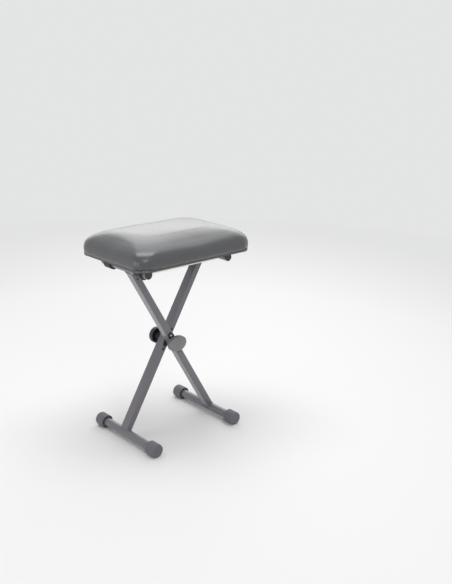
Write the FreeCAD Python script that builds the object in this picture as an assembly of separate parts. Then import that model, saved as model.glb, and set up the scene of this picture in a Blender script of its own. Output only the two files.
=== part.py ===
import FreeCAD, Part
import math
import os

# Folding keyboard bench: a padded seat on two crossing legs that pivot at their middle.
# Millimetres. X runs along the seat, Y along the feet, +Z is up.
# The origin is on the floor, under the middle of the seat.
# Leg B stands on the foot at -X and leans to +X. Leg A is its mirror and passes in front of it, at -Y.

# Stance
FOOT_SPREAD = 260.0
CROSSBAR_SPREAD = 249.0
CROSSBAR_HEIGHT = 449.0
SEAT_RISE = 19.0

# Foot tubes and their rubber caps
FOOT_LENGTH = 240.0
FOOT_TUBE_D = 22.0
CAP_WALL = 6.0
CAP_LENGTH = 31.0
CAP_END_WALL = 4.0
CAP_END_ROUND = 4.5
CAP_MOUTH_WALL = 2.5
CAP_MOUTH_DEPTH = 3.5
CAP_MOUTH_ROUND = 1.5
CAP_FLAT_DEPTH = 0.5
TUBE_WALL = 1.5

# Legs, of flat rectangular tube
LEG_WIDTH = 25.0
LEG_DEPTH = 18.0
LEG_WALL = 1.5
LEG_INNER_CORNER = 1.1
LEG_GAP = 3.0
VENT_HOLE_D = 6.0
VENT_HOLE_DROP = 27.0

# Crossbars, welded across the tops of the legs
CROSSBAR_LENGTH = 170.0
CROSSBAR_D = 20.0
PLUG_HEAD = 2.5
PLUG_ROUND = 1.4
PLUG_SPIGOT = 12.0

# Pivot
BOLT_D = 10.0
BOLT_HEAD_OVERHANG = 3.5
BOLT_HEAD_HEIGHT = 6.4
BOLT_TIP_CHAMFER = 1.2
BOLT_TIP_GAP = 0.5
RUNNING_CLEARANCE = 0.05
INSERT_END_MARGIN = 7.0
BUSH_WALL = 1.5
CLUTCH_LENGTH = 38.0
CLUTCH_WIDTH = 17.5
CLUTCH_RUNNING_GAP = 0.1
SCREW_SPACING = 55.5
SCREW_D = 3.6
SCREW_LENGTH = 12.0
SCREW_HEAD_D = 6.4
SCREW_HEAD_HEIGHT = 1.3
SCREW_HEAD_ROUND = 0.8
PIVOT_PLATE_LENGTH = 66.0
PIVOT_PLATE_WIDTH = 16.5
PIVOT_PLATE_THICKNESS = 2.2
PIVOT_PLATE_ROUND = 0.8
WASHER_D = 16.0
WASHER_THICKNESS = 1.2

# Clamp knob in front: oval, with a hub, a back flange, a groove and a domed face
KNOB_START_GAP = 0.2
KNOB_HALF_LENGTH = 27.5
KNOB_HALF_HEIGHT = 20.0
KNOB_HUB_WALL = 0.9
KNOB_HUB_LENGTH = 1.6
KNOB_FLANGE_THICKNESS = 4.0
KNOB_FLANGE_ROUND = 1.2
KNOB_GROOVE_WIDTH = 2.2
KNOB_GROOVE_DEPTH = 4.0
KNOB_FACE_THICKNESS = 7.0
KNOB_FACE_ROUND = 2.2
KNOB_DOME_RADIUS = 95.0
KNOB_NUT_WALL = 2.0
KNOB_NUT_SETBACK = 1.7

# Rear knob: round, hollow towards the legs, moulded over the head of the bolt
REAR_KNOB_D = 42.0
REAR_KNOB_STANDOFF = 12.0
REAR_KNOB_DEPTH = 14.0
REAR_KNOB_WALL = 3.0
REAR_KNOB_ROUND = 4.0
REAR_HUB_WALL = 1.2

# Seat board and cushion
SEAT_OVERHANG = 52.0
SEAT_WIDTH = 253.0
SEAT_CORNER = 36.0
BOARD_THICKNESS = 12.0
COVER_THICKNESS = 5.0
CUSHION_HEIGHT = 61.0
CUSHION_WIDEST = 14.0
CUSHION_TUCK = 3.5
CUSHION_LOWER_INSET = 1.0
CUSHION_LOWER_RISE = 5.5
CUSHION_SIDE_PULL = 2.5
CROWN_TOP_WIDTH = 38.0
CROWN_TOP_CORNER = 15.0
CROWN_TOP_PULL = 0.4
CROWN_POWER = 2.9
CROWN_SECTIONS = 9
CORNER_SWELL = 0.6
SOFT_CLEARANCE = 0.3

# Saddles that hold the seat on crossbar A
SADDLE_END_INSET = 14.0
SADDLE_WIDTH = 24.0
SADDLE_BLOCK_WALL = 2.1
STRAP_THICKNESS = 2.5
STRAP_FLANGE = 22.0
STRAP_BOLT_D = 6.0
STRAP_BOLT_AF = 10.0
STRAP_BOLT_HEAD = 4.0
STRAP_WASHER_D = 14.0
STRAP_WASHER_THICKNESS = 1.2
TNUT_WALL = 1.0
TNUT_FLANGE_D = 18.0
TNUT_FLANGE = 1.5
TNUT_SETBACK = 1.5

# Slide rails that hold crossbar B under the seat
RAIL_SADDLE_GAP = 2.0
RAIL_ROD_D = 6.0
RAIL_BEND = 8.0
SLIDE_CLEARANCE = 0.3
FOLDED_CROSSBAR_SPREAD = 60.0
RAIL_END_ROOM = 3.0
RAIL_PLATE_LENGTH = 26.0
RAIL_PLATE_WIDTH = 18.0
RAIL_PLATE_THICKNESS = 2.5
RAIL_PLATE_LIP = 3.0
RAIL_SCREW_D = 4.5
RAIL_SCREW_SETBACK = 2.5
RAIL_SCREW_HEAD_D = 9.0
RAIL_SCREW_HEAD_HEIGHT = 2.8
RAIL_SCREW_EDGE = 2.0
RUNNER_WIDTH = 18.0
RUNNER_END_GAP = 1.0

# Worked out from the sizes above
SEAT_BOTTOM = CROSSBAR_HEIGHT + SEAT_RISE
CAP_D = FOOT_TUBE_D + 2 * CAP_WALL
CAP_MOUTH_D = CAP_D - 2 * CAP_MOUTH_WALL
LEG_CORNER = LEG_INNER_CORNER + LEG_WALL
FOOT_AXIS_HEIGHT = CAP_D / 2 - CAP_FLAT_DEPTH
LEG_RISE = CROSSBAR_HEIGHT - FOOT_AXIS_HEIGHT
LEG_RUN = (FOOT_SPREAD + CROSSBAR_SPREAD) / 2
LEG_LENGTH = math.hypot(LEG_RISE, LEG_RUN)
LEG_LEAN = math.degrees(math.atan2(LEG_RUN, LEG_RISE))
LOWER_ARM = LEG_LENGTH * FOOT_SPREAD / (2 * LEG_RUN)
UPPER_ARM = LEG_LENGTH - LOWER_ARM
PIVOT_HEIGHT = FOOT_AXIS_HEIGHT + LEG_RISE * FOOT_SPREAD / (2 * LEG_RUN)
LEG_MIDDLE = (LEG_GAP + LEG_WIDTH) / 2
LEG_FACE = LEG_GAP / 2 + LEG_WIDTH
FOLD_TRAVEL = 2 * (LEG_LEAN - math.degrees(math.asin(FOLDED_CROSSBAR_SPREAD / 2 / UPPER_ARM)))
BOLT_BORE_D = BOLT_D + 2 * RUNNING_CLEARANCE
BOLT_HEAD_AF = BOLT_D + 2 * BOLT_HEAD_OVERHANG
BUSH_D = BOLT_BORE_D + 2 * BUSH_WALL
INSERT_LENGTH = SCREW_SPACING + 2 * INSERT_END_MARGIN
KNOB_NUT_AF = BOLT_BORE_D + 2 * KNOB_NUT_WALL
KNOB_NUT_LENGTH = KNOB_HUB_LENGTH + KNOB_FLANGE_THICKNESS + KNOB_GROOVE_WIDTH - KNOB_NUT_SETBACK
KNOB_HUB_D = KNOB_NUT_AF * 2 / math.sqrt(3) + 2 * KNOB_HUB_WALL
REAR_HUB_D = BOLT_HEAD_AF * 2 / math.sqrt(3) + 2 * REAR_HUB_WALL
WASHER_FRONT = -LEG_FACE - PIVOT_PLATE_THICKNESS - WASHER_THICKNESS
KNOB_BACK = WASHER_FRONT - KNOB_START_GAP
FLANGE_BACK = KNOB_BACK - KNOB_HUB_LENGTH
GROOVE_BACK = FLANGE_BACK - KNOB_FLANGE_THICKNESS
FACE_BACK = GROOVE_BACK - KNOB_GROOVE_WIDTH
REAR_KNOB_FRONT = LEG_FACE + REAR_KNOB_STANDOFF
REAR_KNOB_BACK = REAR_KNOB_FRONT + REAR_KNOB_DEPTH
BOLT_HEAD_START = REAR_KNOB_BACK - REAR_KNOB_WALL - BOLT_HEAD_HEIGHT
CROSSBAR_A = -CROSSBAR_SPREAD / 2
CROSSBAR_B = CROSSBAR_SPREAD / 2
SEAT_LENGTH = CROSSBAR_SPREAD + 2 * SEAT_OVERHANG
BOARD_TOP = SEAT_BOTTOM + BOARD_THICKNESS
CROWN_REACH = (SEAT_WIDTH - CROWN_TOP_WIDTH) / 2
TNUT_BARREL_D = STRAP_BOLT_D + 2 * TNUT_WALL
TNUT_BARREL = BOARD_THICKNESS - TNUT_FLANGE - TNUT_SETBACK
SADDLE_SPACING = CROSSBAR_LENGTH - 2 * SADDLE_END_INSET - SADDLE_WIDTH
STRAP_INNER = CROSSBAR_D / 2 + SADDLE_BLOCK_WALL
STRAP_OUTER = STRAP_INNER + STRAP_THICKNESS
STRAP_BOLT_REACH = STRAP_OUTER + STRAP_FLANGE / 2
RAIL_SPACING = SADDLE_SPACING - SADDLE_WIDTH - 2 * RAIL_SADDLE_GAP - RAIL_PLATE_WIDTH
RAIL_SCREW_TOP = BOARD_TOP - RAIL_SCREW_SETBACK
RAIL_HEIGHT = CROSSBAR_HEIGHT - CROSSBAR_D / 2 - SLIDE_CLEARANCE - RAIL_ROD_D / 2
RAIL_OUTER = CROSSBAR_B + CROSSBAR_D / 2 + SLIDE_CLEARANCE + RAIL_ROD_D / 2
RAIL_INNER = CROSSBAR_A + FOLDED_CROSSBAR_SPREAD - CROSSBAR_D / 2 - RAIL_END_ROOM - RAIL_ROD_D / 2
RUNNER_BOTTOM = CROSSBAR_HEIGHT + CROSSBAR_D / 2 + SLIDE_CLEARANCE

ALONG_Y = FreeCAD.Vector(0, 1, 0)
UP = FreeCAD.Vector(0, 0, 1)


def block(x0, x1, y0, y1, z0, z1):
    return Part.makeBox(x1 - x0, y1 - y0, z1 - z0, FreeCAD.Vector(x0, y0, z0))


def rod_y(x, z, radius, y0, y1):
    """A round bar along Y, from y0 to y1."""
    return Part.makeCylinder(radius, y1 - y0, FreeCAD.Vector(x, y0, z), ALONG_Y)


def rod_z(x, y, radius, z0, z1):
    """A round bar along Z, from z0 to z1."""
    return Part.makeCylinder(radius, z1 - z0, FreeCAD.Vector(x, y, z0), UP)


def ring_y(x, z, outer, inner, y0, y1):
    return rod_y(x, z, outer, y0, y1).cut(rod_y(x, z, inner, y0, y1))


def hex_bar(across_flats, length, base, direction):
    """A hexagonal bar from base along direction."""
    radius = across_flats / math.sqrt(3)
    angles = [math.radians(60 * k) for k in range(7)]
    corners = [FreeCAD.Vector(radius * math.cos(a), radius * math.sin(a), 0) for a in angles]
    bar = Part.Face(Part.makePolygon(corners)).extrude(FreeCAD.Vector(0, 0, length))
    bar.Placement = FreeCAD.Placement(base, FreeCAD.Rotation(UP, direction))
    return bar


def rims(shape, y, radius):
    """The circular edges of this radius that lie in the plane of y."""
    circles = [edge for edge in shape.Edges if isinstance(edge.Curve, Part.Circle)]
    level = [edge for edge in circles if abs(edge.Curve.Center.y - y) < 1e-6]
    return [edge for edge in level if abs(edge.Curve.Radius - radius) < 1e-6]


def round_rims(shape, y, rounding, radius):
    return shape.makeFillet(rounding, rims(shape, y, radius))


def group(solids):
    return Part.makeCompound(solids)


def outline(half_x, half_y, corner, pull, z):
    """A rounded rectangle at height z. Its sides are drawn in by pull at their middles."""
    diagonal = corner * (1 - math.sqrt(0.5))
    along_x = half_x - corner
    along_y = half_y - corner
    edges = []
    for sx, sy, turned in ((1, 1, False), (-1, 1, True), (-1, -1, False), (1, -1, True)):
        start = FreeCAD.Vector(sx * half_x, sy * along_y, z)
        middle = FreeCAD.Vector(sx * (half_x - diagonal), sy * (half_y - diagonal), z)
        end = FreeCAD.Vector(sx * along_x, sy * half_y, z)
        if turned:
            start, end = end, start
        edges.append(Part.Arc(start, middle, end).toShape())
        if turned:
            far = FreeCAD.Vector(end.x, -end.y, z)
            pulled = FreeCAD.Vector(end.x - sx * pull, 0, z)
        else:
            far = FreeCAD.Vector(-end.x, end.y, z)
            pulled = FreeCAD.Vector(0, end.y - sy * pull, z)
        if pull > 0:
            edges.append(Part.Arc(end, pulled, far).toShape())
        else:
            edges.append(Part.LineSegment(end, far).toShape())
    return Part.Wire(edges)


def slab(half_x, half_y, corner, z0, z1):
    """A flat plate with rounded corners."""
    return Part.Face(outline(half_x, half_y, corner, 0, z0)).extrude(FreeCAD.Vector(0, 0, z1 - z0))


# Frame pieces

def lean_placement(foot_x, y):
    """Stands a piece drawn along Z on a foot's axis, leaning to the other side."""
    lean = -math.copysign(LEG_LEAN, foot_x)
    return FreeCAD.Placement(FreeCAD.Vector(foot_x, y, FOOT_AXIS_HEIGHT), FreeCAD.Rotation(ALONG_Y, lean))


def along_leg(foot_x, distance):
    """The point at a distance from the foot's axis, on the leg's middle line, as x and z."""
    point = lean_placement(foot_x, 0).multVec(FreeCAD.Vector(0, 0, distance))
    return point.x, point.z


def foot_tube(foot_x):
    reach = FOOT_LENGTH / 2 - CAP_END_WALL
    inner = FOOT_TUBE_D / 2 - TUBE_WALL
    return ring_y(foot_x, FOOT_AXIS_HEIGHT, FOOT_TUBE_D / 2, inner, -reach, reach)


def foot_cap(foot_x, side):
    """A rubber cap. Drawn at the +Y end, then mirrored for the other."""
    end = FOOT_LENGTH / 2
    mouth = end - CAP_LENGTH
    cap = rod_y(foot_x, FOOT_AXIS_HEIGHT, CAP_D / 2, mouth, end)
    cap = round_rims(cap, end, CAP_END_ROUND, CAP_D / 2)
    cap = round_rims(cap, mouth, CAP_MOUTH_ROUND, CAP_D / 2)
    cap = cap.cut(rod_y(foot_x, FOOT_AXIS_HEIGHT, FOOT_TUBE_D / 2, mouth, end - CAP_END_WALL))
    cap = cap.cut(rod_y(foot_x, FOOT_AXIS_HEIGHT, CAP_MOUTH_D / 2, mouth, mouth + CAP_MOUTH_DEPTH))
    below = block(foot_x - CAP_D, foot_x + CAP_D, mouth - 1, end + 1, -CAP_D, 0)
    cap = cap.cut(below)
    if side < 0:
        cap = cap.mirror(FreeCAD.Vector(0, 0, 0), ALONG_Y)
    return cap


def crossbar(x):
    half = CROSSBAR_LENGTH / 2
    return ring_y(x, CROSSBAR_HEIGHT, CROSSBAR_D / 2, CROSSBAR_D / 2 - TUBE_WALL, -half, half)


def crossbar_plugs(x):
    plugs = []
    half = CROSSBAR_LENGTH / 2
    for side in (-1, 1):
        head = rod_y(x, CROSSBAR_HEIGHT, CROSSBAR_D / 2, half, half + PLUG_HEAD)
        head = round_rims(head, half + PLUG_HEAD, PLUG_ROUND, CROSSBAR_D / 2)
        spigot = rod_y(x, CROSSBAR_HEIGHT, CROSSBAR_D / 2 - TUBE_WALL, half - PLUG_SPIGOT, half)
        plug = head.fuse(spigot)
        if side < 0:
            plug = plug.mirror(FreeCAD.Vector(0, 0, 0), ALONG_Y)
        plugs.append(plug)
    return group(plugs)


def leg_bar(foot_x, y, shrink, start, end):
    """A solid bar along a leg, smaller than the leg's outside by shrink on every side."""
    corner = LEG_CORNER - shrink
    bar = slab(LEG_DEPTH / 2 - shrink, LEG_WIDTH / 2 - shrink, corner, start, end)
    bar.Placement = lean_placement(foot_x, y)
    return bar


def screw_places():
    """Where the insert's two screws stand on leg B, as x and z."""
    foot_x = -FOOT_SPREAD / 2
    return [along_leg(foot_x, LOWER_ARM + side * SCREW_SPACING / 2) for side in (-1, 1)]


def leg_tube(foot_x, y, pivot_hole_d):
    tube = leg_bar(foot_x, y, 0, 0, LEG_LENGTH)
    tube = tube.cut(leg_bar(foot_x, y, LEG_WALL, -LEG_DEPTH, LEG_LENGTH + LEG_DEPTH))
    reach = LEG_WIDTH + LEG_GAP
    tube = tube.cut(rod_y(foot_x, FOOT_AXIS_HEIGHT, FOOT_TUBE_D / 2, y - reach, y + reach))
    crossbar_x = -math.copysign(CROSSBAR_SPREAD / 2, foot_x)
    tube = tube.cut(rod_y(crossbar_x, CROSSBAR_HEIGHT, CROSSBAR_D / 2, y - reach, y + reach))
    return tube.cut(rod_y(0, PIVOT_HEIGHT, pivot_hole_d / 2, y - reach, y + reach))


def leg_tube_a():
    tube = leg_tube(FOOT_SPREAD / 2, -LEG_MIDDLE, BUSH_D)
    x, z = along_leg(FOOT_SPREAD / 2, LEG_LENGTH - VENT_HOLE_DROP)
    return tube.cut(rod_y(x, z, VENT_HOLE_D / 2, -LEG_FACE - 1, -LEG_FACE + LEG_WALL + 1))


def leg_tube_b():
    tube = leg_tube(-FOOT_SPREAD / 2, LEG_MIDDLE, BOLT_D)
    for x, z in screw_places():
        tube = tube.cut(rod_y(x, z, SCREW_D / 2, LEG_GAP / 2 - 1, LEG_GAP / 2 + LEG_WALL))
    return tube


def leg_insert(foot_x, y, bore_d):
    """The block that keeps the tube from crushing when the knob is tightened."""
    start = LOWER_ARM - INSERT_LENGTH / 2
    insert = leg_bar(foot_x, y, LEG_WALL, start, start + INSERT_LENGTH)
    return insert.cut(rod_y(0, PIVOT_HEIGHT, bore_d / 2, y - LEG_WIDTH, y + LEG_WIDTH))


def leg_insert_b():
    insert = leg_insert(-FOOT_SPREAD / 2, LEG_MIDDLE, BOLT_D)
    for x, z in screw_places():
        insert = insert.cut(rod_y(x, z, SCREW_D / 2, LEG_GAP / 2, LEG_GAP / 2 + SCREW_LENGTH))
    return insert


def insert_screws():
    screws = []
    for x, z in screw_places():
        face = LEG_GAP / 2
        head = rod_y(x, z, SCREW_HEAD_D / 2, face - SCREW_HEAD_HEIGHT, face)
        head = round_rims(head, face - SCREW_HEAD_HEIGHT, SCREW_HEAD_ROUND, SCREW_HEAD_D / 2)
        screws.append(head.fuse(rod_y(x, z, SCREW_D / 2, face, face + SCREW_LENGTH)))
    return group(screws)


# Pivot pieces

def bolt_head():
    base = FreeCAD.Vector(0, BOLT_HEAD_START, PIVOT_HEIGHT)
    return hex_bar(BOLT_HEAD_AF, BOLT_HEAD_HEIGHT, base, ALONG_Y)


def pivot_bolt():
    tip = FACE_BACK + BOLT_TIP_GAP
    shank = rod_y(0, PIVOT_HEIGHT, BOLT_D / 2, tip, BOLT_HEAD_START)
    shank = shank.makeChamfer(BOLT_TIP_CHAMFER, rims(shank, tip, BOLT_D / 2))
    return shank.fuse(bolt_head())


def pad_on_leg(foot_x, length, width, y0, y1):
    """A plate with round ends that lies along a leg, with its middle on the pivot."""
    reach = (length - width) / 2
    pad = block(-width / 2, width / 2, y0, y1, LOWER_ARM - reach, LOWER_ARM + reach)
    pad.Placement = lean_placement(foot_x, 0)
    for side in (-1, 1):
        x, z = along_leg(foot_x, LOWER_ARM + side * reach)
        pad = pad.fuse(rod_y(x, z, width / 2, y0, y1))
    return pad.removeSplitter()


def clutch_pad_a():
    """The friction pad on leg A. It turns on the bolt."""
    near = -CLUTCH_RUNNING_GAP / 2
    pad = pad_on_leg(FOOT_SPREAD / 2, CLUTCH_LENGTH, CLUTCH_WIDTH, -LEG_GAP / 2, near)
    return pad.cut(rod_y(0, PIVOT_HEIGHT, BOLT_BORE_D / 2, -LEG_GAP, near))


def clutch_pad_b():
    """The friction pad on leg B, which holds the bolt."""
    near = CLUTCH_RUNNING_GAP / 2
    pad = pad_on_leg(-FOOT_SPREAD / 2, CLUTCH_LENGTH, CLUTCH_WIDTH, near, LEG_GAP / 2)
    return pad.cut(rod_y(0, PIVOT_HEIGHT, BOLT_D / 2, near, LEG_GAP))


def pivot_bush():
    return ring_y(0, PIVOT_HEIGHT, BUSH_D / 2, BOLT_BORE_D / 2, -LEG_FACE, -LEG_GAP / 2)


def pivot_plate():
    """The plate in front of leg A that the clamp knob presses on."""
    front = -LEG_FACE - PIVOT_PLATE_THICKNESS
    plate = pad_on_leg(FOOT_SPREAD / 2, PIVOT_PLATE_LENGTH, PIVOT_PLATE_WIDTH, front, -LEG_FACE)
    front_rim = [edge for edge in plate.Edges if edge.BoundBox.YMax < front + 1e-3]
    plate = plate.makeFillet(PIVOT_PLATE_ROUND, front_rim)
    return plate.cut(rod_y(0, PIVOT_HEIGHT, BOLT_BORE_D / 2, front, -LEG_FACE))


def knob_washer():
    back = -LEG_FACE - PIVOT_PLATE_THICKNESS
    return ring_y(0, PIVOT_HEIGHT, WASHER_D / 2, BOLT_BORE_D / 2, WASHER_FRONT, back)


def oval_disc(shrink, y_back, thickness):
    """A disc of the clamp knob, towards -Y from y_back, smaller than the knob by shrink."""
    centre = FreeCAD.Vector(0, y_back, PIVOT_HEIGHT)
    long_end = centre + FreeCAD.Vector(KNOB_HALF_LENGTH - shrink, 0, 0)
    short_end = centre + FreeCAD.Vector(0, 0, KNOB_HALF_HEIGHT - shrink)
    rim = Part.Ellipse(long_end, short_end, centre).toShape()
    return Part.Face(Part.Wire([rim])).extrude(FreeCAD.Vector(0, -thickness, 0))


def flat_edges(shape):
    """The edges that lie in a plane square to Y."""
    return [e for e in shape.Edges if e.BoundBox.YLength < 1e-3]


def knob_nut_space():
    base = FreeCAD.Vector(0, KNOB_BACK, PIVOT_HEIGHT)
    return hex_bar(KNOB_NUT_AF, KNOB_NUT_LENGTH, base, FreeCAD.Vector(0, -1, 0))


def clamp_knob_grip():
    hub = rod_y(0, PIVOT_HEIGHT, KNOB_HUB_D / 2, FLANGE_BACK, KNOB_BACK)
    flange = oval_disc(0, FLANGE_BACK, KNOB_FLANGE_THICKNESS)
    flange = flange.makeFillet(KNOB_FLANGE_ROUND, flat_edges(flange))
    neck = oval_disc(KNOB_GROOVE_DEPTH, GROOVE_BACK, KNOB_GROOVE_WIDTH)
    grip = hub.fuse([flange, neck])
    grip = grip.cut(knob_nut_space())
    return grip.cut(rod_y(0, PIVOT_HEIGHT, BOLT_BORE_D / 2, FACE_BACK, KNOB_BACK))


def clamp_knob_face():
    disc = oval_disc(0, FACE_BACK, KNOB_FACE_THICKNESS)
    front = FACE_BACK - KNOB_FACE_THICKNESS
    dome = Part.makeSphere(KNOB_DOME_RADIUS, FreeCAD.Vector(0, front + KNOB_DOME_RADIUS, PIVOT_HEIGHT))
    disc = disc.common(dome)
    front_rims = [e for e in disc.Edges if e.BoundBox.YMax < FACE_BACK - KNOB_FACE_ROUND]
    return disc.makeFillet(KNOB_FACE_ROUND, front_rims)


def clamp_knob_nut():
    nut = knob_nut_space()
    return nut.cut(rod_y(0, PIVOT_HEIGHT, BOLT_BORE_D / 2, FACE_BACK, KNOB_BACK))


def rear_knob():
    outer = REAR_KNOB_D / 2
    shell = rod_y(0, PIVOT_HEIGHT, outer, REAR_KNOB_FRONT, REAR_KNOB_BACK)
    shell = round_rims(shell, REAR_KNOB_BACK, REAR_KNOB_ROUND, outer)
    floor = REAR_KNOB_BACK - REAR_KNOB_WALL
    hollow = rod_y(0, PIVOT_HEIGHT, outer - REAR_KNOB_WALL, REAR_KNOB_FRONT, floor)
    hub = rod_y(0, PIVOT_HEIGHT, REAR_HUB_D / 2, LEG_FACE, floor)
    knob = shell.cut(hollow).fuse(hub)
    knob = knob.cut(rod_y(0, PIVOT_HEIGHT, BOLT_D / 2, LEG_FACE, BOLT_HEAD_START))
    return knob.cut(bolt_head())


# Seat pieces

def saddle_bolt_places():
    places = []
    for y in (-SADDLE_SPACING / 2, SADDLE_SPACING / 2):
        for side in (-1, 1):
            places.append((CROSSBAR_A + side * STRAP_BOLT_REACH, y))
    return places


def rail_plate_spans():
    """Where each rail's two end plates start and end along X."""
    reach = RAIL_ROD_D / 2 + RAIL_PLATE_LIP
    outer = (RAIL_OUTER - reach, RAIL_OUTER - reach + RAIL_PLATE_LENGTH)
    inner = (RAIL_INNER + reach - RAIL_PLATE_LENGTH, RAIL_INNER + reach)
    return outer, inner


def rail_screw_places():
    outer, inner = rail_plate_spans()
    edge = RAIL_SCREW_HEAD_D / 2 + RAIL_SCREW_EDGE
    places = []
    for y in (-RAIL_SPACING / 2, RAIL_SPACING / 2):
        places.append((outer[1] - edge, y))
        places.append((inner[0] + edge, y))
    return places


def seat_board():
    half_x = SEAT_LENGTH / 2 - COVER_THICKNESS
    half_y = SEAT_WIDTH / 2 - COVER_THICKNESS
    board = slab(half_x, half_y, SEAT_CORNER - COVER_THICKNESS, SEAT_BOTTOM, BOARD_TOP)
    for x, y in saddle_bolt_places():
        board = board.cut(rod_z(x, y, TNUT_BARREL_D / 2, SEAT_BOTTOM, BOARD_TOP))
        board = board.cut(rod_z(x, y, TNUT_FLANGE_D / 2, BOARD_TOP - TNUT_FLANGE, BOARD_TOP))
    for x, y in rail_screw_places():
        board = board.cut(rod_z(x, y, RAIL_SCREW_D / 2, SEAT_BOTTOM, RAIL_SCREW_TOP))
    return board


def crown_height(inset):
    """Height of the cushion's upper surface above the seat's bottom, at an inset from the edge."""
    share = 1 - (1 - inset / CROWN_REACH) ** CROWN_POWER
    return CUSHION_WIDEST + (CUSHION_HEIGHT - CUSHION_WIDEST) * share ** (1 / CROWN_POWER)


def seat_cushion():
    """The padded pad: a loft through rounded rectangles, with a pocket for the board."""
    half_x = SEAT_LENGTH / 2
    half_y = SEAT_WIDTH / 2
    rings = [(CUSHION_TUCK, 0.0), (CUSHION_LOWER_INSET, CUSHION_LOWER_RISE)]
    for k in range(CROWN_SECTIONS + 1):
        inset = CROWN_REACH * (k / CROWN_SECTIONS) ** 2
        rings.append((inset, crown_height(inset)))
    wires = []
    for inset, height in rings:
        ease = 1 - inset / CROWN_REACH
        corner = SEAT_CORNER * ease + CROWN_TOP_CORNER * (1 - ease) + CORNER_SWELL * inset * ease
        pull = CUSHION_SIDE_PULL * ease + CROWN_TOP_PULL * (1 - ease)
        wires.append(outline(half_x - inset, half_y - inset, corner, pull, SEAT_BOTTOM + height))
    cushion = Part.makeLoft(wires, True, False)
    gap = COVER_THICKNESS - SOFT_CLEARANCE
    pocket_top = BOARD_TOP + SOFT_CLEARANCE
    pocket = slab(half_x - gap, half_y - gap, SEAT_CORNER - gap, SEAT_BOTTOM - 1, pocket_top)
    return cushion.cut(pocket)


def saddle_profile(radius, y0, y1):
    """A round bottom under crossbar A with straight sides up to the board."""
    sides = block(CROSSBAR_A - radius, CROSSBAR_A + radius, y0, y1, CROSSBAR_HEIGHT, SEAT_BOTTOM)
    return sides.fuse(rod_y(CROSSBAR_A, CROSSBAR_HEIGHT, radius, y0, y1)).removeSplitter()


def saddle_spans():
    half = SADDLE_WIDTH / 2
    return [(y - half, y + half) for y in (-SADDLE_SPACING / 2, SADDLE_SPACING / 2)]


def saddle_blocks():
    blocks = []
    for y0, y1 in saddle_spans():
        bore = rod_y(CROSSBAR_A, CROSSBAR_HEIGHT, CROSSBAR_D / 2 + RUNNING_CLEARANCE, y0, y1)
        blocks.append(saddle_profile(STRAP_INNER, y0, y1).cut(bore))
    return group(blocks)


def saddle_straps():
    straps = []
    flange_bottom = SEAT_BOTTOM - STRAP_THICKNESS
    reach = STRAP_OUTER + STRAP_FLANGE
    for y0, y1 in saddle_spans():
        strap = saddle_profile(STRAP_OUTER, y0, y1)
        flange = block(CROSSBAR_A - reach, CROSSBAR_A + reach, y0, y1, flange_bottom, SEAT_BOTTOM)
        strap = strap.fuse(flange)
        strap = strap.cut(saddle_profile(STRAP_INNER, y0, y1))
        for side in (-1, 1):
            x = CROSSBAR_A + side * STRAP_BOLT_REACH
            strap = strap.cut(rod_z(x, (y0 + y1) / 2, STRAP_BOLT_D / 2, flange_bottom, SEAT_BOTTOM))
        straps.append(strap.removeSplitter())
    return group(straps)


def saddle_bolts():
    bolts = []
    washer_bottom = SEAT_BOTTOM - STRAP_THICKNESS - STRAP_WASHER_THICKNESS
    for x, y in saddle_bolt_places():
        base = FreeCAD.Vector(x, y, washer_bottom - STRAP_BOLT_HEAD)
        head = hex_bar(STRAP_BOLT_AF, STRAP_BOLT_HEAD, base, UP)
        bolts.append(head.fuse(rod_z(x, y, STRAP_BOLT_D / 2, washer_bottom, BOARD_TOP - TNUT_FLANGE)))
    return group(bolts)


def saddle_washers():
    washers = []
    top = SEAT_BOTTOM - STRAP_THICKNESS
    for x, y in saddle_bolt_places():
        washer = rod_z(x, y, STRAP_WASHER_D / 2, top - STRAP_WASHER_THICKNESS, top)
        washers.append(washer.cut(rod_z(x, y, STRAP_BOLT_D / 2, top - STRAP_WASHER_THICKNESS, top)))
    return group(washers)


def board_tnuts():
    nuts = []
    flange_bottom = BOARD_TOP - TNUT_FLANGE
    for x, y in saddle_bolt_places():
        nut = rod_z(x, y, TNUT_BARREL_D / 2, flange_bottom - TNUT_BARREL, flange_bottom)
        nut = nut.fuse(rod_z(x, y, TNUT_FLANGE_D / 2, flange_bottom, BOARD_TOP))
        nuts.append(nut.cut(rod_z(x, y, STRAP_BOLT_D / 2, flange_bottom - TNUT_BARREL, BOARD_TOP)))
    return group(nuts)


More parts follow.
